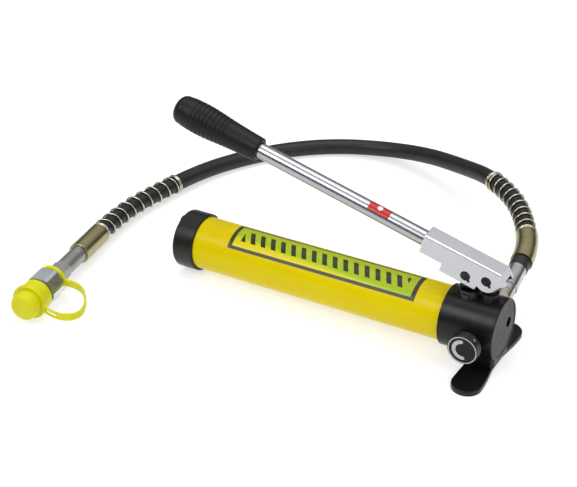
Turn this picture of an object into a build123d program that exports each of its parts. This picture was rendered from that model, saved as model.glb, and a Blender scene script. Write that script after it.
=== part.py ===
from build123d import *
import os
from math import sin, cos, tan, radians, degrees, atan2, sqrt, pi

# ---------------------------------------------------------------- driving dimensions (mm)
# Frame of the part: the floor is z = 0, +Z up, the origin is the middle of the foot plate's underside.
# +X points out of the front of the pump head, -X runs back along the reservoir, +Y is the hose side.

# reservoir and head, in the pump's own frame (its X axis is the reservoir's centreline)
tube_r = 30.0            # 60 mm reservoir tube
tube_wall = 3.0
head_r = 33.1
head_len = 60.7
body_len = 388.3         # front face of the head to the rear face of the cap
cap_len = 25.9
cap_r = 33.0
spigot_r = 26.9
foot_drop = 44.0         # centreline to the underside of the foot, at the foot
foot_x = -16.1           # foot plate's middle along the pump
nose_up = 1.70           # the rear cap rests on the floor, so the pump points slightly upwards

# foot plate
foot_t = 5.4
foot_half = 69.6
ear_r = 16.3

# plunger and its bore
plunger_x = -39.4
lp_r = 12.5              # low pressure bore
hp_r = 6.0               # high pressure bore
rod_r = 10.0
run_gap = 0.05           # radial running clearance of the pump's moving fits
gland_r = 12.8

# lever
pin_r = 5.5
fulcrum = (-18.5, 58.4)  # x, z of the fulcrum pin in the pump frame
pin_u, pin_v = 22.1, -5.9
lever_angle = 13.6       # handle above the horizontal at rest
socket_w = 22.0
slot_w = 12.5
lug_t = 11.9
rod_v = 4.55             # lever tube's centreline above the fulcrum, square to the lever
lever_od = 17.0
grip_u0, grip_u1 = 280.0, 387.0

# release valve and ports
valve_x, valve_z = -23.5, -2.0
port_x, port_z = -21.0, 0.3
port_heading, port_pitch = 5.0, 6.2
relief_y, relief_z, relief_r = 14.0, 0.5, 5.8

# hose assembly
hose_d = 20.0
ferrule_r = 12.5
guard_r = 13.0
# the hose's route: its ends are the mouths of the two ferrules
hose_route = [
    (-26.3, 162.4, 57.0),
    (-50.02, 211.95, 59.68),
    (-109.4, 262.8, 58.5),
    (-166.0, 300.5, 41.0),
    (-222.8, 327.8, 27.4),
    (-284.3, 339.4, 13.9),
    (-344.8, 321.5, 10.2),
    (-394.8, 282.6, 10.3),
    (-434.1, 232.9, 10.2),
    (-461.2, 175.0, 12.0),
    (-476.4, 108.3, 13.6),
    (-490.36, 31.42, 13.68),
    (-482.21, -23.96, 15.4),
]
coupler_dir = Vector(0.1456, -0.9889, 0.0307).normalized()

os.makedirs("parts", exist_ok=True)


def save(piece, name):
    """Labels a finished piece and writes it as its own STEP file."""
    piece.part.label = name
    export_step(piece.part, f"parts/{name}.step")


# ---------------------------------------------------------------- frames
tilt = radians(nose_up)
pump_o = Vector(-foot_x * cos(tilt) - foot_drop * sin(tilt), 0,
                foot_drop * cos(tilt) - foot_x * sin(tilt))
pump_x = Vector(cos(tilt), 0, sin(tilt))
pump_z = Vector(-sin(tilt), 0, cos(tilt))
Y = Vector(0, 1, 0)


def at(x, y=0.0, z=0.0):
    """A point of the pump frame, in the part's frame."""
    return pump_o + pump_x * x + Y * y + pump_z * z


def across(x, y=0.0, z=0.0):
    """Plane square to the reservoir at x, facing the front, with axes (Y, up)."""
    return Plane(origin=at(x, y, z), x_dir=Y, z_dir=pump_x)


def deck(z, x=0.0, y=0.0):
    """Plane square to the plunger at height z, facing up, with axes (forward, Y)."""
    return Plane(origin=at(x, y, z), x_dir=pump_x, z_dir=pump_z)


def near_side(y, x=0.0, z=0.0):
    """Upright plane at y facing -Y, with axes (forward, up)."""
    return Plane(origin=at(x, y, z), x_dir=pump_x, z_dir=-Y)


# lever frame: u runs from the fulcrum to the grip, v is up from it
F = at(fulcrum[0], 0, fulcrum[1])
la = radians(lever_angle)
lu = Vector(-cos(la), 0, sin(la))
lv = Vector(sin(la), 0, cos(la))


def lever_side(y=0.0):
    return Plane(origin=F + Y * y, x_dir=lu, z_dir=Y)


def lever_across(u, v=rod_v):
    return Plane(origin=F + lu * u + lv * v, x_dir=Y, z_dir=lu)


# outlet port frame: its axis leaves the far side of the head, a little upwards
port_d = Vector(-sin(radians(port_heading)) * cos(radians(port_pitch)),
                cos(radians(port_heading)) * cos(radians(port_pitch)),
                sin(radians(port_pitch)))
port_o = at(port_x, head_r, port_z)


def port(s):
    return Plane(origin=port_o + port_d * s, x_dir=pump_x, z_dir=port_d)


# coupler frame: its axis runs through the second ferrule, whose mouth is at 13 mm along it
E = Vector(*hose_route[-1])
coupler_o = E - coupler_dir * 13.0


def cpl(s):
    return Plane(origin=coupler_o + coupler_dir * s, x_dir=Vector(0, 0, 1), z_dir=coupler_dir)


# ---------------------------------------------------------------- pump head
with BuildPart() as pump_head:
    with BuildSketch(across(-head_len)):
        Circle(head_r)
    extrude(amount=head_len)
    chamfer(pump_head.faces().sort_by(Axis(at(0), pump_x))[-1].edges(), 1.0)
    # shallow dished front face inside a thin rim
    with BuildSketch(across(0)):
        Circle(head_r - 2.2)
    extrude(amount=-0.5, mode=Mode.SUBTRACT)
    # pedestal down to the foot plate, its underside parallel to the floor
    with BuildSketch(Plane.XY.offset(foot_t)):
        RectangleRounded(29.0, 42.0, 5.0)
    extrude(amount=24.0)
    # boss under the fulcrum lug
    with BuildSketch(deck(24.0, -17.0)):
        Circle(9.3)
    extrude(amount=17.0)
    # fulcrum lug, a blade that the lever straddles
    with BuildSketch(Plane(origin=at(0), x_dir=pump_x, z_dir=-Y)) as lug_profile:
        with Locations((fulcrum[0], 48.2)):
            Rectangle(16.0, 20.4)
        with Locations(fulcrum):
            Circle(8.0)
    extrude(amount=lug_t / 2, both=True)
    # boss round the outlet port
    with BuildSketch(port(-16.0)):
        Circle(13.0)
    extrude(amount=17.5)
    # spot face and bores for the gland and the stepped plunger
    with BuildSketch(deck(32.0, plunger_x)):
        Circle(gland_r + 0.7)
    extrude(amount=6.0, mode=Mode.SUBTRACT)
    with BuildSketch(deck(-6.0, plunger_x)):
        Circle(lp_r)
    extrude(amount=45.0, mode=Mode.SUBTRACT)
    with BuildSketch(deck(-18.0, plunger_x)):
        Circle(hp_r)
    extrude(amount=14.0, mode=Mode.SUBTRACT)
    with BuildSketch(deck(-24.5, plunger_x)):
        Circle(3.5)
    extrude(amount=8.0, mode=Mode.SUBTRACT)
    # groove that takes the reservoir tube's end, inside the head's outer lip
    with BuildSketch(across(-head_len)):
        Circle(tube_r + 0.05)
        Circle(spigot_r, mode=Mode.SUBTRACT)
    extrude(amount=7.6, mode=Mode.SUBTRACT)
    # spigot inside the tube
    with BuildSketch(across(-72.0)):
        Circle(spigot_r)
    extrude(amount=72.0 - head_len + 0.01)
    # ring groove for the tube seal
    with BuildSketch(across(-68.5)):
        Circle(spigot_r + 0.2)
        Circle(spigot_r - 2.2, mode=Mode.SUBTRACT)
    extrude(amount=3.2, mode=Mode.SUBTRACT)
    # tapped hole for the tie rod
    with BuildSketch(across(-72.0)):
        Circle(5.0)
    extrude(amount=10.0, mode=Mode.SUBTRACT)
    # suction gallery with its counterbore for the suction tube
    with BuildSketch(across(-72.0, 0, -22.0)):
        Circle(1.8)
    extrude(amount=72.0 + plunger_x, mode=Mode.SUBTRACT)
    with BuildSketch(across(-72.0, 0, -20.0)):
        Circle(3.5)
    extrude(amount=6.0, mode=Mode.SUBTRACT)
    # discharge gallery and the upright bore that holds the discharge check
    with BuildSketch(across(plunger_x, 0, -15.0)):
        Circle(1.5)
    extrude(amount=plunger_x * -1 - 20.5, mode=Mode.SUBTRACT)
    with BuildSketch(deck(-4.0, -20.5)):
        Circle(3.2)
    extrude(amount=-40.0, mode=Mode.SUBTRACT)
    with BuildSketch(deck(-6.0, -20.5)):
        Circle(1.6)
    extrude(amount=8.0, mode=Mode.SUBTRACT)
    with BuildSketch(Plane(origin=at(-21.5, -9.0, -1.0), x_dir=pump_x, z_dir=Y)):
        Circle(1.6)
    extrude(amount=30.0, mode=Mode.SUBTRACT)
    # release valve bore and the seat of its ball
    with BuildSketch(near_side(-head_r - 1.0, valve_x, valve_z)):
        Circle(5.0)
    extrude(amount=-25.0, mode=Mode.SUBTRACT)
    with BuildSketch(near_side(-9.5, valve_x, valve_z)):
        Circle(2.9)
    extrude(amount=-4.5, mode=Mode.SUBTRACT)
    # outlet port
    with BuildSketch(port(2.0)):
        Circle(8.6)
    extrude(amount=-16.0, mode=Mode.SUBTRACT)
    # relief valve bore in the front face
    with BuildSketch(across(0.5, relief_y, relief_z)):
        Circle(relief_r)
    extrude(amount=-15.5, mode=Mode.SUBTRACT)
    with BuildSketch(across(-14.0, relief_y, relief_z)):
        Circle(1.6)
    extrude(amount=-8.0, mode=Mode.SUBTRACT)
    # fulcrum hole
    with BuildSketch(near_side(-10.0, *fulcrum)):
        Circle(pin_r + 0.06)
    extrude(amount=-20.0, mode=Mode.SUBTRACT)
    # tapped holes for the foot screws
    with BuildSketch(Plane.XY.offset(foot_t)):
        with Locations((0, -13.0), (0, 13.0)):
            Circle(3.0)
    extrude(amount=13.0, mode=Mode.SUBTRACT)
save(pump_head, "pump_head")

# ---------------------------------------------------------------- gland nut and plunger
with BuildPart() as gland_nut:
    with BuildSketch(deck(32.0, plunger_x)):
        Circle(gland_r)
    extrude(amount=8.0)
    chamfer(gland_nut.faces().sort_by(Axis(at(0), pump_z))[-1].edges(), 0.9)
    with BuildSketch(deck(24.0, plunger_x)):
        Circle(lp_r - 0.02)
    extrude(amount=8.0)
    # two wrench slots in the flange
    with BuildSketch(deck(40.0, plunger_x)):
        with Locations((0, gland_r), (0, -gland_r)):
            Rectangle(5.0, 3.2)
    extrude(amount=-3.5, mode=Mode.SUBTRACT)
    with BuildSketch(deck(23.0, plunger_x)):
        Circle(rod_r + run_gap)
    extrude(amount=18.0, mode=Mode.SUBTRACT)
save(gland_nut, "gland_nut")

with BuildPart() as plunger_seal:
    with BuildSketch(deck(20.7, plunger_x)):
        Circle(lp_r - 0.02)
        Circle(rod_r + run_gap, mode=Mode.SUBTRACT)
    extrude(amount=3.1)
    fillet(plunger_seal.edges().filter_by(GeomType.CIRCLE), 0.6)
save(plunger_seal, "plunger_seal")

with BuildPart() as plunger:
    # high pressure spindle, low pressure piston, guide rod
    with BuildSketch(deck(-12.5, plunger_x)):
        Circle(hp_r - run_gap)
    extrude(amount=13.0)
    chamfer(plunger.faces().sort_by(Axis(at(0), pump_z))[0].edges(), 0.6)
    with BuildSketch(deck(0.0, plunger_x)):
        Circle(lp_r - run_gap)
    extrude(amount=5.0)
    with BuildSketch(deck(5.0, plunger_x)):
        Circle(rod_r)
    extrude(amount=31.0)
    # neck milled flat so that it passes between the lever's cheeks
    with BuildSketch(deck(36.0, plunger_x)) as neck:
        Circle(rod_r)
        Rectangle(2 * rod_r + 1, 11.6, mode=Mode.INTERSECT)
    extrude(amount=10.0)
    # eye block
    with BuildSketch(Plane(origin=at(plunger_x, 0, 45.2), x_dir=pump_x, z_dir=-Y)):
        with Locations((0, 11.6)):
            RectangleRounded(24.4, 23.2, 6.0)
    extrude(amount=5.8, both=True)
    # slot that lets the lever's pin swing past the straight stroke of the plunger
    with BuildSketch(Plane(origin=at(plunger_x + 0.85, 0, 58.47), x_dir=pump_x, z_dir=-Y)):
        SlotCenterToCenter(7.0, 2 * (pin_r + 0.65))
    extrude(amount=8.0, both=True, mode=Mode.SUBTRACT)
save(plunger, "plunger")

# ---------------------------------------------------------------- reservoir
with BuildPart() as reservoir_tube:
    with BuildSketch(across(-375.6)):
        Circle(tube_r)
        Circle(tube_r - tube_wall, mode=Mode.SUBTRACT)
    extrude(amount=375.6 - 53.2)
save(reservoir_tube, "reservoir_tube")

with BuildPart() as rear_cap:
    with BuildSketch(across(-body_len)):
        Circle(cap_r)
    extrude(amount=cap_len)
    fillet(rear_cap.faces().sort_by(Axis(at(0), pump_x))[0].edges(), 3.0)
    fillet(rear_cap.faces().sort_by(Axis(at(0), pump_x))[-1].edges(), 1.5)
    with BuildSketch(across(-376.0)):
        Circle(tube_r + 0.05)
        Circle(spigot_r, mode=Mode.SUBTRACT)
    extrude(amount=20.0, mode=Mode.SUBTRACT)
    with BuildSketch(across(-366.0)):
        Circle(spigot_r + 0.01)
    extrude(amount=10.0, mode=Mode.SUBTRACT)
    with BuildSketch(across(-373.2)):
        Circle(spigot_r + 0.2)
        Circle(spigot_r - 2.2, mode=Mode.SUBTRACT)
    extrude(amount=3.2, mode=Mode.SUBTRACT)
    # recess for the tie rod nut, hole for the rod, hole for the filler plug
    with BuildSketch(across(-body_len)):
        Circle(11.0)
    extrude(amount=8.0, mode=Mode.SUBTRACT)
    with BuildSketch(across(-body_len)):
        Circle(5.1)
        with Locations((0, 19.5)):
            Circle(5.0)
    extrude(amount=cap_len, mode=Mode.SUBTRACT)
save(rear_cap, "rear_cap")

with BuildPart() as tube_seals:
    for x0 in (-68.4, -373.1):
        with BuildSketch(across(x0)):
            Circle(tube_r - tube_wall - 0.02)
            Circle(spigot_r - 2.15, mode=Mode.SUBTRACT)
        extrude(amount=3.0)
save(tube_seals, "tube_seals")

with BuildPart() as tie_rod:
    with BuildSketch(across(-386.8)):
        Circle(4.98)
    extrude(amount=386.8 - 62.2)
    chamfer(tie_rod.edges().filter_by(GeomType.CIRCLE), 0.8)
save(tie_rod, "tie_rod")

with BuildPart() as tie_rod_nut:
    with BuildSketch(across(-387.6)):
        RegularPolygon(9.2, 6)
        Circle(5.0, mode=Mode.SUBTRACT)
    extrude(amount=7.2)
save(tie_rod_nut, "tie_rod_nut")

with BuildPart() as filler_plug:
    with BuildSketch(across(-body_len - 5.2, 0, 19.5)):
        Circle(7.4)
    extrude(amount=4.9)
    fillet(filler_plug.faces().sort_by(Axis(at(0), pump_x))[0].edges(), 1.0)
    with BuildSketch(across(-body_len - 0.4, 0, 19.5)):
        Circle(5.0 - run_gap)
    extrude(amount=14.0)
    # coin slot and grip flutes
    with BuildSketch(across(-body_len - 5.2, 0, 19.5)):
        Rectangle(12.0, 1.8)
        with PolarLocations(7.9, 12):
            Circle(1.0)
    extrude(amount=1.6, mode=Mode.SUBTRACT)
save(filler_plug, "filler_plug")

with BuildPart() as suction_tube:
    with BuildSketch(across(-118.0, 0, -20.0)):
        Circle(3.48)
        Circle(2.2, mode=Mode.SUBTRACT)
    extrude(amount=118.0 - 66.1)
save(suction_tube, "suction_tube")

with BuildPart() as suction_strainer:
    with BuildSketch(across(-136.0, 0, -20.0)):
        Circle(6.2)
    extrude(amount=22.0)
    fillet(suction_strainer.edges().filter_by(GeomType.CIRCLE), 1.2)
    with BuildSketch(across(-118.1, 0, -20.0)):
        Circle(3.5)
    extrude(amount=6.0, mode=Mode.SUBTRACT)
save(suction_strainer, "suction_strainer")

# ---------------------------------------------------------------- foot
with BuildPart() as foot_plate:
    with BuildSketch() as foot_sketch:
        with BuildLine():
            ec = foot_half - ear_r
            wf, wr = 11.5, -14.6
            near = CenterArc((0, -ec), ear_r, 0, -180)
            far = CenterArc((0, ec), ear_r, 180, -180)
            Spline((-ear_r, -ec), (wr, 0), (-ear_r, ec), tangents=[(0, 1), (0, 1)])
            Spline((ear_r, ec), (wf, 0), (ear_r, -ec), tangents=[(0, -1), (0, -1)])
        make_face()
    extrude(amount=foot_t)
    fillet(foot_plate.faces().sort_by(Axis.Z)[-1].edges(), 1.0)
    # countersunk screw holes from below
    with BuildSketch(Plane.XY):
        with Locations((0, -13.0), (0, 13.0)):
            Circle(3.3)
    extrude(amount=foot_t, mode=Mode.SUBTRACT)
    with BuildSketch(Plane.XY):
        with Locations((0, -13.0), (0, 13.0)):
            Circle(6.2)
    extrude(amount=2.9, taper=45, mode=Mode.SUBTRACT)
save(foot_plate, "foot_plate")

with BuildPart() as foot_screws:
    with BuildSketch(Plane.XY.offset(0.15)):
        with Locations((0, -13.0), (0, 13.0)):
            Circle(5.9)
    extrude(amount=2.75, taper=45)
    with BuildSketch(Plane.XY.offset(0.15)):
        with Locations((0, -13.0), (0, 13.0)):
            Circle(2.98)
    extrude(amount=16.0)
    with BuildSketch(Plane.XY.offset(0.15)):
        with Locations((0, -13.0), (0, 13.0)):
            RegularPolygon(2.3, 6)
    extrude(amount=1.8, mode=Mode.SUBTRACT)
save(foot_screws, "foot_screws")

with BuildPart() as gallery_plug:
    with BuildSketch(deck(-37.4, -20.5)):
        Circle(3.18)
    extrude(amount=9.0)
save(gallery_plug, "gallery_plug")

# ---------------------------------------------------------------- lever
pin_at = (pin_u, pin_v)
key_off = (-4.95, -3.95)      # keyhole notch beside each pin, on the lever's side plates
with BuildPart() as lever_socket:
    with BuildSketch(lever_side()):
        with BuildLine():
            Polyline((-11.5, 15.3), (76.4, 15.3), (76.4, -6.2), (49.5, -6.2), (49.5, -15.6),
                     (8.8, -15.6), (7.6, -10.5), (0.0, -12.4), (-7.5, -10.2), (-14.6, 0.6),
                     (-20.3, 6.0), (-11.5, 15.3))
        make_face()
        Circle(12.5)
    extrude(amount=socket_w / 2, both=True)
    fillet(lever_socket.edges().filter_by(Axis(F, lu)).group_by(Axis(F, lv))[-1], 2.0)
    fillet(lever_socket.faces().sort_by(Axis(F, lu))[-1].edges(), 1.6)
    # slot between the two cheeks, open below and in front
    with BuildSketch(lever_side()):
        with Locations((7.0, -8.0)):
            Rectangle(74.0, 34.0)
    extrude(amount=slot_w / 2, both=True, mode=Mode.SUBTRACT)
    # pin holes with their keyhole notches
    with BuildSketch(lever_side(-socket_w)):
        Circle(pin_r + 0.02)
        with Locations(pin_at):
            Circle(pin_r + 0.02)
        with Locations(key_off, (pin_u + key_off[0], pin_v + key_off[1])):
            Circle(1.7)
    extrude(amount=2 * socket_w, mode=Mode.SUBTRACT)
    # bore for the lever tube
    with BuildSketch(lever_across(52.0)):
        Circle(lever_od / 2)
    extrude(amount=30.0, mode=Mode.SUBTRACT)
save(lever_socket, "lever_socket")

with BuildPart() as fulcrum_pin:
    with BuildSketch(lever_side(-socket_w / 2 + 0.5)):
        Circle(pin_r)
    extrude(amount=socket_w - 1.0)
    chamfer(fulcrum_pin.edges().filter_by(GeomType.CIRCLE), 0.5)
    with BuildSketch(lever_side(-socket_w)):
        with Locations(key_off):
            Circle(1.72)
    extrude(amount=2 * socket_w, mode=Mode.SUBTRACT)
save(fulcrum_pin, "fulcrum_pin")

with BuildPart() as plunger_pin:
    with BuildSketch(lever_side(-socket_w / 2 + 0.5)):
        with Locations(pin_at):
            Circle(pin_r)
    extrude(amount=socket_w - 1.0)
    chamfer(plunger_pin.edges().filter_by(GeomType.CIRCLE), 0.5)
    with BuildSketch(lever_side(-socket_w)):
        with Locations((pin_u + key_off[0], pin_v + key_off[1])):
            Circle(1.72)
    extrude(amount=2 * socket_w, mode=Mode.SUBTRACT)
save(plunger_pin, "plunger_pin")

with BuildPart() as pin_keys:
    for y0 in (-10.6, 6.6):
        with BuildSketch(lever_side(y0)):
            with Locations(key_off, (pin_u + key_off[0], pin_v + key_off[1])):
                Circle(1.4)
        extrude(amount=4.0)
save(pin_keys, "pin_keys")

with BuildPart() as lever_tube:
    with BuildSketch(lever_across(52.2)):
        Circle(lever_od / 2 - 0.01)
        Circle(lever_od / 2 - 2.5, mode=Mode.SUBTRACT)
    extrude(amount=376.0 - 52.2)
save(lever_tube, "lever_tube")

with BuildPart() as grip:
    grip_axis = Axis(F + lv * rod_v, lu)
    with BuildSketch(Plane(origin=F + lv * rod_v, x_dir=lu, z_dir=Y)):
        with BuildLine():
            Line((grip_u0, 0), (grip_u0, 12.2))
            Line((grip_u0, 12.2), (grip_u0 + 1.2, 13.2))
            Spline((grip_u0 + 1.2, 13.2), (grip_u0 + 30, 14.6), (grip_u0 + 58, 17.0),
                   (grip_u0 + 74, 17.8), (grip_u0 + 90, 17.2), (grip_u0 + 100, 15.2),
                   (grip_u0 + 105.5, 10.0), (grip_u1, 0), tangents=[(1, 0.03), (0, -1)])
            Line((grip_u1, 0), (grip_u0, 0))
        make_face()
    revolve(axis=grip_axis)
    with BuildSketch(lever_across(grip_u0 - 1.0)):
        Circle(lever_od / 2)
    extrude(amount=376.2 - grip_u0 + 1.0, mode=Mode.SUBTRACT)
save(grip, "grip")

# ---------------------------------------------------------------- release valve and knob
knob_r = 16.6
knob_y = -52.0
set_dir = (pump_x * 0.64 + pump_z * 0.77).normalized()
with BuildPart() as release_knob:
    with BuildSketch(near_side(knob_y + 11.0, valve_x, valve_z)):
        Circle(knob_r)
    extrude(amount=11.0)
    fillet(release_knob.faces().sort_by(Axis.Y)[0].edges(), 0.8)
    fillet(release_knob.faces().sort_by(Axis.Y)[-1].edges(), 1.2)
    # hub towards the head
    with BuildSketch(near_side(knob_y + 11.0, valve_x, valve_z)):
        Circle(9.0)
    extrude(amount=-5.6)
    # recess for the face disc and bore for the stem
    with BuildSketch(near_side(knob_y, valve_x, valve_z)):
        Circle(14.2)
    extrude(amount=-1.0, mode=Mode.SUBTRACT)
    # seat of the inlaid ring in the rim
    with BuildSketch(near_side(knob_y, valve_x, valve_z)):
        Circle(15.7)
        Circle(14.6, mode=Mode.SUBTRACT)
    extrude(amount=-0.3, mode=Mode.SUBTRACT)
    with BuildSketch(near_side(knob_y + 1.0, valve_x, valve_z)):
        Circle(4.0)
    extrude(amount=-20.0, mode=Mode.SUBTRACT)
    # tapped hole for the set screw in the rim
    with BuildSketch(Plane(origin=at(valve_x, knob_y + 5.2, valve_z), x_dir=Y,
                           z_dir=set_dir)):
        Circle(2.0)
    extrude(amount=knob_r + 2.0, mode=Mode.SUBTRACT)
save(release_knob, "release_knob")

def crescent(outer, inner):
    """Outline of a thick arc with round ends, open to the right."""
    mid, half = (outer + inner) / 2, (outer - inner) / 2
    a0, a1 = 100.0, 275.0
    CenterArc((0, 0), outer, a0, a1 - a0)
    CenterArc((0, 0), inner, a0, a1 - a0)
    p0 = Vector(cos(radians(a0)), sin(radians(a0)))
    p1 = Vector(cos(radians(a1)), sin(radians(a1)))
    t0 = Vector(sin(radians(a0)), -cos(radians(a0)))
    t1 = Vector(-sin(radians(a1)), cos(radians(a1)))
    ThreePointArc(p0 * outer, p0 * mid + t0 * half, p0 * inner)
    ThreePointArc(p1 * outer, p1 * mid + t1 * half, p1 * inner)


with BuildPart() as knob_face:
    with BuildSketch(near_side(knob_y + 1.0, valve_x, valve_z)):
        Circle(14.18)
    extrude(amount=0.6)
    # seat for the inlaid crescent
    with BuildSketch(near_side(knob_y + 0.4, valve_x, valve_z)):
        with BuildLine():
            crescent(11.6, 7.4)
        make_face()
    extrude(amount=-0.3, mode=Mode.SUBTRACT)
save(knob_face, "knob_face")

with BuildPart() as knob_marks:
    with BuildSketch(near_side(knob_y + 0.7, valve_x, valve_z)):
        with BuildLine():
            crescent(11.56, 7.44)
        make_face()
    extrude(amount=0.5)
    with BuildSketch(near_side(knob_y + 0.3, valve_x, valve_z)):
        Circle(15.68)
        Circle(14.62, mode=Mode.SUBTRACT)
    extrude(amount=0.3)
save(knob_marks, "knob_marks")

with BuildPart() as knob_set_screw:
    with BuildSketch(Plane(origin=at(valve_x, knob_y + 5.2, valve_z) + (set_dir) * 4.1,
                           x_dir=Y, z_dir=set_dir)):
        Circle(1.95)
    extrude(amount=knob_r - 4.0)
    with BuildSketch(Plane(origin=at(valve_x, knob_y + 5.2, valve_z) + (set_dir) * (knob_r + 0.1),
                           x_dir=Y, z_dir=set_dir)):
        RegularPolygon(1.1, 6)
    extrude(amount=-1.5, mode=Mode.SUBTRACT)
save(knob_set_screw, "knob_set_screw")

with BuildPart() as release_valve_stem:
    with BuildSketch(near_side(-14.0, valve_x, valve_z)):
        Circle(5.0 - run_gap)
    extrude(amount=20.2)
    with BuildSketch(near_side(-34.0, valve_x, valve_z)):
        Circle(3.98)
    extrude(amount=15.8)
    # needle that presses on the ball
    with BuildSketch(near_side(-14.0, valve_x, valve_z)):
        Circle(2.8)
    extrude(amount=-4.2, taper=15)
save(release_valve_stem, "release_valve_stem")

with BuildPart() as release_valve_ball:
    with Locations(at(valve_x, -7.4, valve_z)):
        Sphere(2.1)
save(release_valve_ball, "release_valve_ball")

# ---------------------------------------------------------------- relief valve and checks
with BuildPart() as relief_screw:
    with BuildSketch(across(-8.6, relief_y, relief_z)):
        Circle(relief_r - 0.02)
    extrude(amount=4.2)
    with BuildSketch(across(-4.3, relief_y, relief_z)):
        RegularPolygon(2.6, 6)
    extrude(amount=-2.4, mode=Mode.SUBTRACT)
save(relief_screw, "relief_screw")

with BuildPart() as relief_spring:
    with BuildSketch(across(-12.3, relief_y, relief_z)):
        Circle(2.6)
        Circle(1.9, mode=Mode.SUBTRACT)
    extrude(amount=3.5)
save(relief_spring, "relief_spring")

with BuildPart() as relief_ball:
    with Locations(at(-13.6, relief_y, relief_z)):
        Sphere(2.0)
    with BuildSketch(across(-20.0, relief_y, relief_z)):
        Circle(6.0)
    extrude(amount=5.1, mode=Mode.SUBTRACT)
save(relief_ball, "relief_ball")

with BuildPart() as inlet_check_ball:
    with Locations(at(plunger_x, 0, -20.9)):
        Sphere(2.6)
save(inlet_check_ball, "inlet_check_ball")

with BuildPart() as discharge_check_ball:
    with Locations(at(-20.5, 0, -24.0)):
        Sphere(2.6)
save(discharge_check_ball, "discharge_check_ball")

with BuildPart() as discharge_check_spring:
    with BuildSketch(deck(-20.8, -20.5)):
        Circle(2.9)
        Circle(2.2, mode=Mode.SUBTRACT)
    extrude(amount=16.0)
save(discharge_check_spring, "discharge_check_spring")

# ---------------------------------------------------------------- outlet adapter and hose end
with BuildPart() as outlet_adapter:
    with BuildSketch(port(-11.5)):
        Circle(8.58)
    extrude(amount=13.6)
    with BuildSketch(port(1.8)):
        RegularPolygon(12.6, 6)
    extrude(amount=12.0)
    chamfer(outlet_adapter.faces().sort_by(Axis(port_o, port_d))[-1].edges(), 0.8)
    with BuildSketch(port(13.0)):
        Circle(9.2)
    extrude(amount=12.6)
    chamfer(outlet_adapter.faces().sort_by(Axis(port_o, port_d))[-1].edges(), 1.0)
    with BuildSketch(port(-12.0)):
        Circle(3.0)
    extrude(amount=38.0, mode=Mode.SUBTRACT)
save(outlet_adapter, "outlet_adapter")

nipple_end = port_o + port_d * 82.0
mouth = Vector(*hose_route[0])
mouth_dir = (Vector(*hose_route[1]) - mouth).normalized()
# the ferrule bends gently from the port's axis round to the hose's first run
bend = Edge.make_tangent_arc(nipple_end + port_d * 1.0, port_d, mouth)
bend_dir = bend % 1

with BuildPart() as head_nipple:
    with BuildSketch(port(25.8)):
        Circle(9.4)
    extrude(amount=9.0)
    with BuildSketch(port(34.8)):
        Circle(10.2)
    extrude(amount=34.4)
    chamfer(head_nipple.edges().filter_by(GeomType.CIRCLE).group_by(Axis(port_o, port_d))[0], 0.6)
    chamfer(head_nipple.edges().filter_by(GeomType.CIRCLE).group_by(Axis(port_o, port_d))[-1], 0.8)
    with BuildSketch(port(25.0)):
        Circle(3.0)
    extrude(amount=34.0, mode=Mode.SUBTRACT)
save(head_nipple, "head_nipple")

with BuildPart() as head_nipple_band:
    with BuildSketch(port(69.4)):
        Circle(10.9)
    extrude(amount=13.4)
    fillet(head_nipple_band.edges().filter_by(GeomType.CIRCLE), 0.8)
save(head_nipple_band, "head_nipple_band")

with BuildPart() as head_ferrule:
    with BuildLine():
        add(bend)
    with BuildSketch(Plane(origin=bend @ 0, z_dir=bend % 0)):
        Circle(ferrule_r)
    sweep()
save(head_ferrule, "head_ferrule")

# ---------------------------------------------------------------- hose
radii = []
route = [Vector(*p) for p in hose_route]
for a, b, c in zip(route, route[1:], route[2:]):
    turn = (b - a).get_angle(c - b)
    radii.append(0.45 * min((b - a).length, (c - b).length) / tan(radians(turn / 2)))
    print("hose run %.1f  turn %.1f deg  radius %.0f" % ((b - a).length, turn, radii[-1]))
hose_path = FilletPolyline(*route, radius=radii)
print("ferrule meets hose at %.2f deg" % bend_dir.get_angle(mouth_dir))

with BuildPart() as hose:
    with BuildLine():
        add(hose_path)
    with BuildSketch(Plane(origin=mouth, z_dir=mouth_dir)):
        Circle(hose_d / 2)
    sweep()
print("hose length %.1f mm, volume ratio %.4f" % (hose_path.length,
      hose.part.volume / (pi * (hose_d / 2) ** 2 * hose_path.length)))
save(hose, "hose")


def part_of_path(edges, length):
    """The first stretch of a run of edges, of the given length."""
    kept, left = [], length
    for e in edges:
        if e.length <= left + 0.01:
            kept.append(e)
            left -= e.length
        else:
            if left > 0.5:
                kept.append(e.trim(0.0, left / e.length))
            break
    return kept


chain = []
here = mouth
pool = list(hose_path.edges())
while pool:
    nxt = min(pool, key=lambda e: min((e @ 0 - here).length, (e @ 1 - here).length))
    pool.remove(nxt)
    if (nxt @ 0 - here).length > (nxt @ 1 - here).length:
        nxt = nxt.reversed()
    chain.append(nxt)
    here = nxt @ 1
back_chain = [e.reversed() for e in reversed(chain)]

with BuildPart() as head_spring_guard:
    with BuildLine():
        for e in part_of_path(chain, 129.0):
            add(e)
    with BuildSketch(Plane(origin=mouth, z_dir=mouth_dir)):
        Circle(guard_r)
        Circle(hose_d / 2 + 0.3, mode=Mode.SUBTRACT)
    sweep()
save(head_spring_guard, "head_spring_guard")

with BuildPart() as coupler_spring_guard:
    with BuildLine():
        for e in part_of_path(back_chain, 150.0):
            add(e)
    with BuildSketch(Plane(origin=E, z_dir=(route[-2] - route[-1]).normalized())):
        Circle(guard_r)
        Circle(hose_d / 2 + 0.3, mode=Mode.SUBTRACT)
    sweep()
save(coupler_spring_guard, "coupler_spring_guard")

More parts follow.
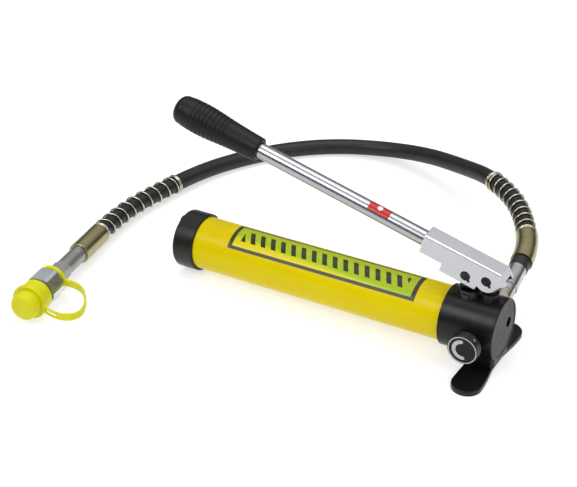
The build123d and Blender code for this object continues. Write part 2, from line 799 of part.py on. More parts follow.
# ---------------------------------------------------------------- coupler end
with BuildPart() as coupler_ferrule:
    with BuildSketch(cpl(13.0)):
        Circle(ferrule_r)
    extrude(amount=49.0)
    fillet(coupler_ferrule.edges().filter_by(GeomType.CIRCLE), 0.8)
    with BuildSketch(cpl(62.0)):
        Circle(9.0)
    extrude(amount=-43.0, mode=Mode.SUBTRACT)
save(coupler_ferrule, "coupler_ferrule")

with BuildPart() as coupler_nipple:
    with BuildSketch(cpl(19.5)):
        Circle(8.98)
    extrude(amount=43.5)
    with BuildSketch(cpl(62.2)):
        Circle(10.0)
    extrude(amount=35.8)
    with BuildSketch(cpl(98.0)):
        RegularPolygon(11.4, 6)
    extrude(amount=15.0)
    chamfer(coupler_nipple.faces().sort_by(Axis(E, coupler_dir))[-1].edges(), 0.8)
    with BuildSketch(cpl(19.0)):
        Circle(3.0)
    extrude(amount=95.0, mode=Mode.SUBTRACT)
save(coupler_nipple, "coupler_nipple")

with BuildPart() as coupler_body:
    # hexagon with its corners turned off, more deeply at the hose end
    with BuildSketch(cpl(124.0)):
        Circle(14.6)
    with BuildSketch(cpl(128.5)):
        Circle(16.9)
    loft()
    with BuildSketch(cpl(128.4)):
        RegularPolygon(19.6, 6, rotation=30)
    extrude(amount=23.1)
    with BuildSketch(cpl(128.4)):
        Circle(25.0)
        Circle(18.7, mode=Mode.SUBTRACT)
    extrude(amount=23.1, mode=Mode.SUBTRACT)
    with BuildSketch(cpl(113.2)):
        Circle(9.0)
    extrude(amount=11.0)
    with BuildSketch(cpl(151.5)):
        Circle(14.0)
    extrude(amount=2.6)
    with BuildSketch(cpl(154.0)):
        Circle(11.0)
    extrude(amount=26.0)
    chamfer(coupler_body.faces().sort_by(Axis(E, coupler_dir))[-1].edges(), 0.8)
    # through passage, opened out for the poppet
    with BuildSketch(cpl(113.0)):
        Circle(3.0)
    extrude(amount=73.0, mode=Mode.SUBTRACT)
    with BuildSketch(cpl(146.0)):
        Circle(6.5)
    extrude(amount=34.5, mode=Mode.SUBTRACT)
save(coupler_body, "coupler_body")

with BuildPart() as coupler_collar:
    with BuildSketch(cpl(155.0)):
        Circle(15.0)
        Circle(11.0 + run_gap, mode=Mode.SUBTRACT)
    extrude(amount=12.0)
    chamfer(coupler_collar.edges().filter_by(GeomType.CIRCLE).group_by(Axis(E, coupler_dir))[0].sort_by(SortBy.RADIUS)[-1], 1.0)
    # knurl flutes
    with BuildSketch(cpl(157.0)):
        with PolarLocations(15.5, 24):
            Circle(0.9)
    extrude(amount=7.0, mode=Mode.SUBTRACT)
save(coupler_collar, "coupler_collar")

with BuildPart() as coupler_poppet:
    with BuildSketch(cpl(164.0)):
        Circle(6.5 - run_gap)
    extrude(amount=12.0)
    fillet(coupler_poppet.faces().sort_by(Axis(E, coupler_dir))[-1].edges(), 1.5)
    with BuildSketch(cpl(163.9)):
        Circle(4.2)
    extrude(amount=7.0, mode=Mode.SUBTRACT)
save(coupler_poppet, "coupler_poppet")

with BuildPart() as poppet_spring:
    with BuildSketch(cpl(146.3)):
        Circle(3.85)
        Circle(3.1, mode=Mode.SUBTRACT)
    extrude(amount=20.2)
save(poppet_spring, "poppet_spring")

# ---------------------------------------------------------------- dust cap and its strap
with BuildPart() as dust_cap:
    with BuildSketch(cpl(154.6)):
        Circle(17.8)
    extrude(amount=18.0)
    with BuildSketch(cpl(168.0)):
        Circle(20.0)
    extrude(amount=6.0)
    fillet(dust_cap.edges().filter_by(GeomType.CIRCLE).group_by(SortBy.RADIUS)[-1], 1.6)
    with BuildSketch(cpl(173.0)):
        Circle(15.6)
    extrude(amount=15.5)
    fillet(dust_cap.faces().sort_by(Axis(E, coupler_dir))[-1].edges(), 6.0)
    # cavity over the collar and the coupler's nose
    with BuildSketch(cpl(154.5)):
        Circle(15.4)
    extrude(amount=13.9, mode=Mode.SUBTRACT)
    with BuildSketch(cpl(168.0)):
        Circle(11.6)
    extrude(amount=14.0, mode=Mode.SUBTRACT)
save(dust_cap, "dust_cap")

side = coupler_dir.cross(Vector(0, 0, 1)).normalized() * -1


def strap_at(a, s):
    """A point a mm to the side of the coupler's axis, s mm along it."""
    return coupler_o + coupler_dir * s + side * a


with BuildPart() as dust_cap_strap:
    with BuildSketch(cpl(119.8)):
        Circle(17.2)
        Circle(9.3, mode=Mode.SUBTRACT)
    extrude(amount=3.8)
    with BuildLine():
        FilletPolyline(strap_at(14.5, 121.8), strap_at(33.0, 123.5), strap_at(52.0, 143.0),
                       strap_at(62.5, 172.0), strap_at(50.0, 184.0), strap_at(20.7, 178.0),
                       radius=[14.0, 40.0, 13.0, 14.0])
    with BuildSketch(Plane(origin=strap_at(14.5, 121.8), x_dir=Vector(0, 0, 1),
                           z_dir=(strap_at(33.0, 123.5) - strap_at(14.5, 121.8)).normalized())):
        Rectangle(9.4, 2.3)
    sweep()
save(dust_cap_strap, "dust_cap_strap")
print("done")
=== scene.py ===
from math import sin, cos, tan, pi, radians, sqrt, atan2
import bpy
import bmesh
from mathutils import Vector, Matrix


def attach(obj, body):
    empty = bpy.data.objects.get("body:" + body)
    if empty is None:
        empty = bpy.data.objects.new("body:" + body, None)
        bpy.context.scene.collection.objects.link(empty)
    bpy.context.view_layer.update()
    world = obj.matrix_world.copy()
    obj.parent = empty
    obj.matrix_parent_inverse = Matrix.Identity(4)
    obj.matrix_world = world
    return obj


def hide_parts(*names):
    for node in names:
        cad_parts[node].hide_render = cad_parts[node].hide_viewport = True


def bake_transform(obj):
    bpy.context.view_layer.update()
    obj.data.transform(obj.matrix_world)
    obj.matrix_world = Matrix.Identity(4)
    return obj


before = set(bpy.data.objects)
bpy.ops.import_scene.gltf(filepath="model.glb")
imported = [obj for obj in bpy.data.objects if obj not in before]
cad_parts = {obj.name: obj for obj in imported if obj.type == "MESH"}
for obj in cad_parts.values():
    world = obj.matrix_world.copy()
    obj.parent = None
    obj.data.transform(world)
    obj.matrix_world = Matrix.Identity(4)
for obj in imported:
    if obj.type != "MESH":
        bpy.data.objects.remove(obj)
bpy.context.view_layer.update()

MM = 0.001
TILT = radians(1.70)
PX = Vector((cos(TILT), 0, sin(TILT)))
PZ = Vector((-sin(TILT), 0, cos(TILT)))
PY = Vector((0, 1, 0))
PO = Vector((14.788, 0, 44.458)) * MM
LA = radians(13.6)
LU = Vector((-cos(LA), 0, sin(LA)))
LV = Vector((sin(LA), 0, cos(LA)))
FULCRUM = Vector((-5.436, 0, 102.283)) * MM
ROD = FULCRUM + LV * 4.55 * MM


def pump(x, y=0.0, z=0.0):
    """A point of the pump frame (mm) in the row frame (m)."""
    return PO + (PX * x + PY * y + PZ * z) * MM


# ---------------------------------------------------------------- camera
a, e, r = radians(29.554), radians(32.197), radians(0.580)
back = Vector((sin(a) * cos(e), -cos(a) * cos(e), sin(e)))
right0 = Vector((cos(a), sin(a), 0))
up0 = back.cross(right0)
right = right0 * cos(r) + up0 * sin(r)
up = right0 * -sin(r) + up0 * cos(r)
cam_data = bpy.data.cameras.new("view")
cam_data.sensor_fit = "HORIZONTAL"
cam_data.sensor_width = 36.0
cam_data.lens = 88.94
cam_data.clip_end = 50.0
cam = bpy.data.objects.new("view", cam_data)
m = Matrix((right, up, back)).transposed().to_4x4()
m.translation = Vector((0.4102, -1.1476, 0.8973))
cam.matrix_world = m
bpy.context.scene.collection.objects.link(cam)
bpy.context.scene.camera = cam

# ---------------------------------------------------------------- hose
ROUTE = [
    (-26.3, 162.4, 57.0),
    (-50.02, 211.95, 59.68),
    (-109.4, 262.8, 58.5),
    (-166.0, 300.5, 41.0),
    (-222.8, 327.8, 27.4),
    (-284.3, 339.4, 13.9),
    (-344.8, 321.5, 10.2),
    (-394.8, 282.6, 10.3),
    (-434.1, 232.9, 10.2),
    (-461.2, 175.0, 12.0),
    (-476.4, 108.3, 13.6),
    (-490.36, 31.42, 13.68),
    (-482.21, -23.96, 15.4),
]
ROUTE = [Vector(p) * MM for p in ROUTE]


def link(obj):
    bpy.context.scene.collection.objects.link(obj)
    return obj


def nurbs(name, points, bevel=0.0):
    data = bpy.data.curves.new(name, "CURVE")
    data.dimensions = "3D"
    s = data.splines.new("NURBS")
    s.points.add(len(points) - 1)
    for p, q in zip(s.points, points):
        p.co = (q[0], q[1], q[2], 1.0)
    s.order_u = 3
    s.use_endpoint_u = True
    s.resolution_u = 24
    data.bevel_depth = bevel
    data.bevel_resolution = 7
    data.use_fill_caps = bevel > 0
    return link(bpy.data.objects.new(name, data))


hose = nurbs("pressure_hose", ROUTE, 0.010)


def line_points(points):
    """Points read from the NURBS spline that has these control points."""
    tmp = nurbs("line_tmp", points)
    bpy.context.view_layer.update()
    dg = bpy.context.evaluated_depsgraph_get()
    mesh = bpy.data.meshes.new_from_object(tmp.evaluated_get(dg))
    pts = [v.co.copy() for v in mesh.vertices]
    bpy.data.objects.remove(tmp)
    bpy.data.meshes.remove(mesh)
    return pts


hose_line = line_points(ROUTE)
if (hose_line[0] - ROUTE[0]).length > (hose_line[-1] - ROUTE[0]).length:
    hose_line.reverse()


class Line:
    """A polyline with arc length, and a frame carried along it without twist."""

    def __init__(self, pts, up=Vector((0, 0, 1))):
        self.p = [pts[0]]
        for q in pts[1:]:
            if (q - self.p[-1]).length > 1e-6:
                self.p.append(q)
        self.s = [0.0]
        for i in range(1, len(self.p)):
            self.s.append(self.s[-1] + (self.p[i] - self.p[i - 1]).length)
        self.length = self.s[-1]
        n = len(self.p)
        self.t = [(self.p[min(i + 1, n - 1)] - self.p[max(i - 1, 0)]).normalized() for i in range(n)]
        u = (up - self.t[0] * up.dot(self.t[0])).normalized()
        self.u = [u]
        for i in range(1, n):
            u = (u - self.t[i] * u.dot(self.t[i])).normalized()
            self.u.append(u)

    def at(self, s):
        s = min(max(s, 0.0), self.length)
        lo, hi = 0, len(self.s) - 1
        while hi - lo > 1:
            mid = (lo + hi) // 2
            if self.s[mid] <= s:
                lo = mid
            else:
                hi = mid
        k = (s - self.s[lo]) / max(self.s[hi] - self.s[lo], 1e-9)
        p = self.p[lo].lerp(self.p[hi], k)
        t = self.t[lo].lerp(self.t[hi], k).normalized()
        u = self.u[lo].lerp(self.u[hi], k)
        u = (u - t * u.dot(t)).normalized()
        return p, t, u, t.cross(u)


hose_path = Line(hose_line)
# the spring guards are measured from the coupler's end on a reversed copy
coupler_path = Line(list(reversed(hose_line)))


def tube_mesh(name, pts, radius, ring=8):
    """A thin round wire along pts, with closed ends."""
    line = Line(pts)
    bm = bmesh.new()
    rows = []
    for i, p in enumerate(line.p):
        u = line.u[i]
        w = line.t[i].cross(u)
        rows.append([bm.verts.new(p + (u * cos(2 * pi * k / ring) + w * sin(2 * pi * k / ring)) * radius)
                     for k in range(ring)])
    for a0, a1 in zip(rows, rows[1:]):
        for k in range(ring):
            bm.faces.new((a0[k], a0[(k + 1) % ring], a1[(k + 1) % ring], a1[k]))
    bm.faces.new(list(reversed(rows[0])))
    bm.faces.new(rows[-1])
    bmesh.ops.recalc_face_normals(bm, faces=bm.faces)
    mesh = bpy.data.meshes.new(name)
    bm.to_mesh(mesh)
    bm.free()
    for f in mesh.polygons:
        f.use_smooth = len(f.vertices) == 4
    return link(bpy.data.objects.new(name, mesh))


def spring(name, path, s0, s1, turns, coil_r, wire_r, closed, phase):
    """A compression spring with closed end turns, wound round a line."""
    per = 26
    pts = []
    total = turns + 2 * closed
    close_len = closed * wire_r * 2.25
    steps = int(total * per)
    for i in range(steps + 1):
        n = total * i / steps
        if n < closed:
            s = s0 + n * wire_r * 2.25
        elif n > total - closed:
            s = s1 - (total - n) * wire_r * 2.25
        else:
            k = (n - closed) / turns
            k2 = k - 0.035 * sin(2 * pi * k) / (2 * pi)
            s = s0 + close_len + (s1 - s0 - 2 * close_len) * k2
        p, t, u, w = path.at(s)
        ang = 2 * pi * n + phase
        pts.append(p + (u * cos(ang) + w * sin(ang)) * coil_r)
    return tube_mesh(name, pts, wire_r)


WIRE = 0.00100
head_spring = spring("head_guard_spring", hose_path, 0.0012, 0.1280, 9.0, 0.01125, WIRE, 2.0, 0.6)
coupler_spring = spring("coupler_guard_spring", coupler_path, 0.0012, 0.1490, 9.0, 0.01125, WIRE, 2.0, 2.2)

# ---------------------------------------------------------------- coupler frame
CD = Vector((0.1456, -0.9889, 0.0307)).normalized()
E = ROUTE[-1] - CD * 13 * MM
SIDE = CD.cross(Vector((0, 0, 1))).normalized() * -1


def cpl(s, side=0.0, rise=0.0):
    return E + (CD * s + SIDE * side + CD.cross(SIDE) * rise) * MM


def lathe(name, origin, axis, profile, seg=64, start=None):
    """A turned piece: profile is (along, radius) in mm, closed on itself where radius is 0."""
    z = axis.normalized()
    x = (start or Vector((0, 0, 1)))
    x = (x - z * x.dot(z)).normalized()
    y = z.cross(x)
    bm = bmesh.new()
    rows = []
    for s, rad in profile:
        c = origin + z * s * MM
        if rad < 1e-6:
            rows.append([bm.verts.new(c)])
        else:
            rows.append([bm.verts.new(c + (x * cos(2 * pi * k / seg) + y * sin(2 * pi * k / seg)) * rad * MM)
                         for k in range(seg)])
    for r0, r1 in zip(rows, rows[1:]):
        for k in range(seg):
            k2 = (k + 1) % seg
            if len(r0) == 1 and len(r1) == 1:
                continue
            if len(r0) == 1:
                bm.faces.new((r0[0], r1[k2], r1[k]))
            elif len(r1) == 1:
                bm.faces.new((r0[k], r0[k2], r1[0]))
            else:
                bm.faces.new((r0[k], r0[k2], r1[k2], r1[k]))
    bmesh.ops.recalc_face_normals(bm, faces=bm.faces)
    mesh = bpy.data.meshes.new(name)
    bm.to_mesh(mesh)
    bm.free()
    for f in mesh.polygons:
        f.use_smooth = True
    return link(bpy.data.objects.new(name, mesh))


# ---------------------------------------------------------------- grip
def smooth(points, x):
    """Catmull-Rom through (x, y) points."""
    n = len(points)
    for i in range(n - 1):
        if x <= points[i + 1][0] or i == n - 2:
            p0 = points[max(i - 1, 0)]
            p1, p2 = points[i], points[i + 1]
            p3 = points[min(i + 2, n - 1)]
            t = (x - p1[0]) / (p2[0] - p1[0])
            m1 = (p2[1] - p0[1]) / (p2[0] - p0[0]) * (p2[0] - p1[0])
            m2 = (p3[1] - p1[1]) / (p3[0] - p1[0]) * (p2[0] - p1[0])
            return ((2 * t ** 3 - 3 * t ** 2 + 1) * p1[1] + (t ** 3 - 2 * t ** 2 + t) * m1
                    + (-2 * t ** 3 + 3 * t ** 2) * p2[1] + (t ** 3 - t ** 2) * m2)


shape = [(281.2, 13.2), (295, 13.75), (310, 14.6), (325, 15.8), (338, 17.0), (354, 17.8), (370, 17.2), (377, 16.2)]
profile = [(280.3, 8.6), (280.0, 9.0), (280.0, 11.6), (280.4, 12.6), (281.2, 13.2)]
u = 282.0
while u < 377.0:
    rad = smooth(shape, u)
    if 315.5 < u < 367.0:
        # rounded ring ribs with narrow valleys
        w = ((u - 315.5) / 5.15) % 1.0
        rad -= 0.75 * max(0.0, cos(2 * pi * w)) ** 1.6 * min(1.0, (u - 315.5) / 2.0, (367.0 - u) / 2.0)
    profile.append((u, rad))
    u += 0.43
for k in range(1, 15):
    t = k / 14 * pi / 2
    profile.append((376.9 + 10.0 * sin(t), 16.25 * cos(t) ** 0.62 if k < 14 else 0.0))
grip = lathe("hand_grip", ROD, LU, profile, 96)

# ---------------------------------------------------------------- dust cap strap
STRAP = [cpl(121.8, 15.2), cpl(122.3, 25.0), cpl(126.0, 38.0), cpl(139.0, 50.5), cpl(156.0, 59.5), cpl(172.0, 62.3),
         cpl(182.0, 55.0), cpl(185.0, 42.0), cpl(182.0, 30.0), cpl(178.0, 20.8)]
strap_line = line_points(STRAP)
if (strap_line[0] - STRAP[0]).length > (strap_line[-1] - STRAP[0]).length:
    strap_line.reverse()
sl = Line(strap_line)


def band(name, line, height, thick, slot=(0.0205, 0.0035, 2.6)):
    """A flat band with rounded edges standing on its edge along a line, with a slot near its far end.

    slot is (start, end, width): distances from the far end in metres, and the slot's width in mm.
    """
    bm = bmesh.new()
    up_v = CD.cross(SIDE)
    if up_v.z < 0:
        up_v = -up_v

    def strip(s0, s1, lo, hi, seg):
        h, t, c = (hi - lo) / 2 * MM, thick / 2 * MM, (hi + lo) / 2 * MM
        ring = []
        nr = 6
        for k in range(nr + 1):
            ang = pi / 2 - pi * k / nr
            ring.append((c + (h - t) + t * cos(ang), t * sin(ang)))
        for k in range(nr + 1):
            ang = -pi / 2 - pi * k / nr
            ring.append((c - (h - t) + t * cos(ang), t * sin(ang)))
        rows = []
        for i in range(seg + 1):
            p, tt, _, _ = line.at(s0 + (s1 - s0) * i / seg)
            n = tt.cross(up_v).normalized()
            rows.append([bm.verts.new(p + up_v * q[0] + n * q[1]) for q in ring])
        m_ = len(ring)
        for r0, r1 in zip(rows, rows[1:]):
            for k in range(m_):
                bm.faces.new((r0[k], r0[(k + 1) % m_], r1[(k + 1) % m_], r1[k]))
        bm.faces.new(list(reversed(rows[0])))
        bm.faces.new(rows[-1])

    full = line.length
    a0, a1, wide = slot
    half = height / 2
    strip(0.0, full - a0, -half, half, 90)
    strip(full - a0 - 0.001, full - a1 + 0.001, wide / 2, half, 14)
    strip(full - a0 - 0.001, full - a1 + 0.001, -half, -wide / 2, 14)
    strip(full - a1, full, -half, half, 8)
    bmesh.ops.recalc_face_normals(bm, faces=bm.faces)
    mesh = bpy.data.meshes.new(name)
    bm.to_mesh(mesh)
    bm.free()
    for f in mesh.polygons:
        f.use_smooth = len(f.vertices) == 4
    return link(bpy.data.objects.new(name, mesh))


strap = band("cap_strap_loop", sl, 9.2, 2.3)


def round_ring(name, origin, axis, r_in, r_out, length, soft, seg=72):
    """A flat washer-like ring with rounded edges, closed on itself."""
    pts = []
    corners = [(0, r_in), (0, r_out), (length, r_out), (length, r_in)]
    for (s, rad), (ds, dr), a0 in ((corners[0], (1, 1), pi), (corners[1], (1, -1), pi / 2),
                                   (corners[2], (-1, -1), 0), (corners[3], (-1, 1), -pi / 2)):
        cx, cy = s + ds * soft, rad + dr * soft
        for k in range(5):
            if (ds, dr) == (1, 1):
                ang = pi * 1.5 - pi / 2 * k / 4
            elif (ds, dr) == (1, -1):
                ang = pi - pi / 2 * k / 4
            elif (ds, dr) == (-1, -1):
                ang = pi / 2 - pi / 2 * k / 4
            else:
                ang = 0 - pi / 2 * k / 4
            pts.append((cx + soft * cos(ang), cy + soft * sin(ang)))
    pts.append(pts[0])
    return lathe(name, origin, axis, pts, seg)


strap_ring = round_ring("cap_strap_ring", cpl(119.8), CD, 9.3, 17.1, 3.8, 1.7)


# ---------------------------------------------------------------- patches that follow a round surface
def patch(name, origin, axis, up_dir, side_dir, radius, x0, x1, a0, a1, nx, na, lift=0.00012):
    """A thin printed film on a round tube; its UVs run 0 to 1 along (u) and round (v)."""
    bm = bmesh.new()
    uv = bm.loops.layers.uv.new("uv")
    grid = []
    for i in range(nx + 1):
        row = []
        for j in range(na + 1):
            x = x0 + (x1 - x0) * i / nx
            an = radians(a0 + (a1 - a0) * j / na)
            p = origin + axis * x * MM + (up_dir * cos(an) + side_dir * sin(an)) * (radius * MM + lift)
            row.append(bm.verts.new(p))
        grid.append(row)
    for i in range(nx):
        for j in range(na):
            f = bm.faces.new((grid[i][j], grid[i][j + 1], grid[i + 1][j + 1], grid[i + 1][j]))
            for loop, (ii, jj) in zip(f.loops, ((i, j), (i, j + 1), (i + 1, j + 1), (i + 1, j))):
                loop[uv].uv = (ii / nx, jj / na)
            f.smooth = True
    mesh = bpy.data.meshes.new(name)
    bm.to_mesh(mesh)
    bm.free()
    obj = link(bpy.data.objects.new(name, mesh))
    return obj


# from the far upper edge of the tube round towards the near side
LX0, LX1, LA0, LA1 = -319.6, -91.8, -20.0, 51.5
label = patch("tank_label", PO, PX, PZ, -PY, 30.0, LX0, LX1, LA0, LA1, 40, 36)
sticker = patch("lever_sticker", ROD, LU, LV, -PY, 8.49, 119.5, 144.5, -22.0, 62.0, 12, 24)


# ---------------------------------------------------------------- materials
class Mat:
    """A node material built up from a Principled shader."""

    def __init__(self, name):
        self.m = bpy.data.materials.new(name)
        self.m.use_nodes = True
        self.t = self.m.node_tree
        self.n = self.t.nodes
        self.b = self.n["Principled BSDF"]
        self.coord = self.new("ShaderNodeTexCoord")

    def new(self, kind, **kw):
        node = self.n.new(kind)
        for k, v in kw.items():
            setattr(node, k, v)
        return node

    def link(self, a, b):
        self.t.links.new(a, b)

    def noise(self, scale, detail=4.0, rough=0.55, stretch=None, rotate=None, kind="Object"):
        nz = self.new("ShaderNodeTexNoise")
        nz.inputs["Scale"].default_value = scale
        nz.inputs["Detail"].default_value = detail
        nz.inputs["Roughness"].default_value = rough
        src = self.coord.outputs[kind]
        if stretch or rotate:
            mp = self.new("ShaderNodeMapping")
            if rotate:
                mp.inputs["Rotation"].default_value = rotate
            if stretch:
                mp.inputs["Scale"].default_value = stretch
            self.link(src, mp.inputs["Vector"])
            src = mp.outputs["Vector"]
        self.link(src, nz.inputs["Vector"])
        return nz.outputs["Fac"]

    def ramp(self, fac, stops, mode="LINEAR"):
        rp = self.new("ShaderNodeValToRGB")
        rp.color_ramp.interpolation = mode
        el = rp.color_ramp.elements
        while len(el) < len(stops):
            el.new(0.5)
        for q, (pos, col) in zip(el, stops):
            q.position = pos
            q.color = (*col, 1.0) if len(col) == 3 else col
        self.link(fac, rp.inputs["Fac"])
        return rp.outputs["Color"]

    def math(self, op, a_, b_=None, c_=None):
        nd = self.new("ShaderNodeMath", operation=op)
        for i, v in enumerate((a_, b_, c_)):
            if v is None:
                continue
            if isinstance(v, (int, float)):
                nd.inputs[i].default_value = v
            else:
                self.link(v, nd.inputs[i])
        return nd.outputs[0]

    def mix(self, fac, c0, c1, blend="MIX"):
        nd = self.new("ShaderNodeMix", data_type="RGBA", blend_type=blend)
        for key, v in ((0, fac), (6, c0), (7, c1)):
            if isinstance(v, (int, float)):
                nd.inputs[key].default_value = v
            elif isinstance(v, tuple):
                nd.inputs[key].default_value = (*v, 1.0)
            else:
                self.link(v, nd.inputs[key])
        return nd.outputs[2]

    def map(self, fac, lo, hi, from_lo=0.3, from_hi=0.7):
        nd = self.new("ShaderNodeMapRange")
        nd.inputs["From Min"].default_value = from_lo
        nd.inputs["From Max"].default_value = from_hi
        nd.inputs["To Min"].default_value = lo
        nd.inputs["To Max"].default_value = hi
        self.link(fac, nd.inputs["Value"])
        return nd.outputs["Result"]

    def bump(self, height, distance, strength=1.0, after=None):
        nd = self.new("ShaderNodeBump")
        nd.inputs["Strength"].default_value = strength
        nd.inputs["Distance"].default_value = distance
        self.link(height, nd.inputs["Height"])
        if after is not None:
            self.link(after, nd.inputs["Normal"])
        return nd.outputs["Normal"]

    def along(self, origin, axis):
        """Distance along an axis from a point, in metres, of the point shaded."""
        sub = self.new("ShaderNodeVectorMath", operation="SUBTRACT")
        self.link(self.coord.outputs["Object"], sub.inputs[0])
        sub.inputs[1].default_value = origin
        dot = self.new("ShaderNodeVectorMath", operation="DOT_PRODUCT")
        self.link(sub.outputs["Vector"], dot.inputs[0])
        dot.inputs[1].default_value = axis
        return dot.outputs["Value"]

    def radius(self, origin, axis):
        """Distance from an axis through a point, in metres."""
        sub = self.new("ShaderNodeVectorMath", operation="SUBTRACT")
        self.link(self.coord.outputs["Object"], sub.inputs[0])
        sub.inputs[1].default_value = origin
        crs = self.new("ShaderNodeVectorMath", operation="CROSS_PRODUCT")
        self.link(sub.outputs["Vector"], crs.inputs[0])
        crs.inputs[1].default_value = axis
        ln = self.new("ShaderNodeVectorMath", operation="LENGTH")
        self.link(crs.outputs["Vector"], ln.inputs[0])
        return ln.outputs["Value"]

    def set(self, **kw):
        for k, v in kw.items():
            self.b.inputs[k.replace("_", " ")].default_value = v
        return self

    def out(self, color=None, rough=None, normal=None, metal=None):
        if color is not None:
            self.link(color, self.b.inputs["Base Color"])
        if rough is not None:
            self.link(rough, self.b.inputs["Roughness"])
        if normal is not None:
            self.link(normal, self.b.inputs["Normal"])
        if metal is not None:
            self.link(metal, self.b.inputs["Metallic"])
        return self.m


def metal(name, dark, light, rough=(0.2, 0.35), scale=30, stretch=None, rotate=None, grain=1200, depth=0.00002):
    k = Mat(name)
    k.set(Metallic=1.0)
    col = k.ramp(k.noise(scale, 5, 0.6, stretch, rotate), [(0.32, dark), (0.68, light)])
    fine = k.noise(grain, 3, 0.6, stretch, rotate)
    return k.out(col, k.map(fine, rough[0], rough[1]), k.bump(fine, depth, 0.5))


def dark_paint(name, base=(0.012, 0.012, 0.013), rough=(0.26, 0.40), grain=900, depth=0.00004, coat=0.25):
    k = Mat(name)
    k.set(Specular_IOR_Level=0.30, Coat_Weight=coat, Coat_Roughness=0.18)
    c = Vector(base)
    col = k.ramp(k.noise(45, 5, 0.6), [(0.3, tuple(c * 0.75)), (0.7, tuple(c * 1.45))])
    fine = k.noise(grain, 3, 0.6)
    return k.out(col, k.map(k.noise(70, 4), rough[0], rough[1]), k.bump(fine, depth, 0.35))


def rubber(name, base=(0.016, 0.016, 0.016), rough=(0.45, 0.6), grain=1500, depth=0.00006, spec=0.45):
    k = Mat(name)
    k.set(Specular_IOR_Level=spec)
    c = Vector(base)
    col = k.ramp(k.noise(60, 5, 0.6), [(0.3, tuple(c * 0.8)), (0.7, tuple(c * 1.5))])
    fine = k.noise(grain, 3, 0.6)
    return k.out(col, k.map(k.noise(90, 4), rough[0], rough[1]), k.bump(fine, depth, 0.4))


# pump head: satin enamel, with the bare machined front face in dark grey
k = Mat("head enamel")
k.set(Coat_Weight=0.0)
depth_in = k.along(tuple(PO), tuple(PX))
rad = k.radius(tuple(PO), tuple(PX))
face_mask = k.math("MULTIPLY", k.math("GREATER_THAN", depth_in, -0.0009), k.math("LESS_THAN", rad, 0.0318))
rings = k.new("ShaderNodeTexNoise", noise_dimensions="1D")
rings.inputs["Scale"].default_value = 2600
rings.inputs["Detail"].default_value = 3
k.link(rad, rings.inputs["W"])
enamel = k.ramp(k.noise(45, 5, 0.6), [(0.3, (0.0045, 0.0045, 0.005)), (0.7, (0.009, 0.009, 0.0095))])
turned = k.ramp(rings.outputs["Fac"], [(0.3, (0.028, 0.028, 0.028)), (0.7, (0.058, 0.058, 0.056))])
col = k.mix(face_mask, enamel, turned)
rough_head = k.math("ADD", k.map(k.noise(70, 4), 0.27, 0.38), k.math("MULTIPLY", face_mask, 0.14))
fine = k.noise(900, 3, 0.6)
height = k.mix(face_mask, fine, rings.outputs["Fac"])
# the fulcrum lug's worn, bare crown between the lever's cheeks, its colour darkened to a painted shade where it sits
# between the cheeks
crown_bare_and_shaded = k.math("MULTIPLY", k.math("GREATER_THAN", k.along(tuple(pump(0, 0, 62.6)), tuple(PZ)), 0.0), 1.0)
col = k.mix(crown_bare_and_shaded, col, (0.26, 0.24, 0.22))
HEAD = k.out(col, rough_head, k.bump(height, 0.00003, 0.35), k.math("MAXIMUM", k.math("MULTIPLY", face_mask, 0.85), crown_bare_and_shaded))
k.set(Specular_IOR_Level=0.25)

CAP = dark_paint("cap moulding", (0.008, 0.008, 0.008), (0.30, 0.42), coat=0.0)
FOOT = dark_paint("foot enamel", (0.0055, 0.0055, 0.0055), (0.26, 0.38), coat=0.0)

# reservoir: glossy yellow enamel with a faint orange peel
k = Mat("yellow enamel")
k.set(Specular_IOR_Level=0.10, Coat_Weight=0.05, Coat_Roughness=0.12)
col = k.ramp(k.noise(14, 5, 0.55), [(0.3, (0.68, 0.535, 0.0)), (0.7, (0.73, 0.585, 0.0))])
peel = k.noise(420, 2, 0.5)
YELLOW = k.out(col, k.map(k.noise(60, 4), 0.22, 0.32), k.bump(peel, 0.00006, 0.25))

# lever socket: satin chrome over cast steel; lever tube: bright chrome drawn along its length
k = Mat("socket plating")
col = k.ramp(k.noise(24, 4, 0.5), [(0.25, (0.80, 0.81, 0.84)), (0.75, (0.88, 0.89, 0.93))])
# the two outer cheeks are painted darker than the top: painted shade on the side faces
shaded_cheeks = k.math("GREATER_THAN", k.math("ABSOLUTE", k.along((0, 0, 0), (0, 1, 0))), 0.01085)
col = k.mix(shaded_cheeks, col, (0.50, 0.50, 0.53))
# inside faces of the fork painted near-black and non-metallic: painted shade between the cheeks
shaded_inner_faces = k.math("LESS_THAN", k.math("ABSOLUTE", k.along((0, 0, 0), (0, 1, 0))), 0.00640)
front = k.math("LESS_THAN", k.along(tuple(FULCRUM), tuple(LU)), 0.0445)
below = k.math("LESS_THAN", k.along(tuple(FULCRUM), tuple(LV)), 0.00915)
shaded_inner_faces = k.math("MULTIPLY", shaded_inner_faces, k.math("MULTIPLY", front, below))
col = k.mix(shaded_inner_faces, col, (0.012, 0.012, 0.013))
fine = k.noise(700, 3, 0.5)
SOCKET = k.out(col, k.math("ADD", k.map(fine, 0.20, 0.27), k.math("MULTIPLY", shaded_inner_faces, 0.3)), k.bump(fine, 0.000012, 0.4),
               k.math("SUBTRACT", 1.0, shaded_inner_faces))
k = Mat("rod chrome")
k.set(Metallic=1.0)
streak = k.noise(900, 3, 0.6, (0.02, 1, 1), (0, LA, 0))
col = k.ramp(streak, [(0.3, (0.37, 0.38, 0.40)), (0.7, (0.43, 0.44, 0.465))])
CHROME_ROD = k.out(col, k.map(k.noise(160, 4), 0.22, 0.26), k.bump(streak, 0.000001, 0.2))
CHROME = metal("bright chrome", (0.64, 0.66, 0.71), (0.76, 0.78, 0.83), (0.24, 0.34), 40, None, None, 800, 0.000006)

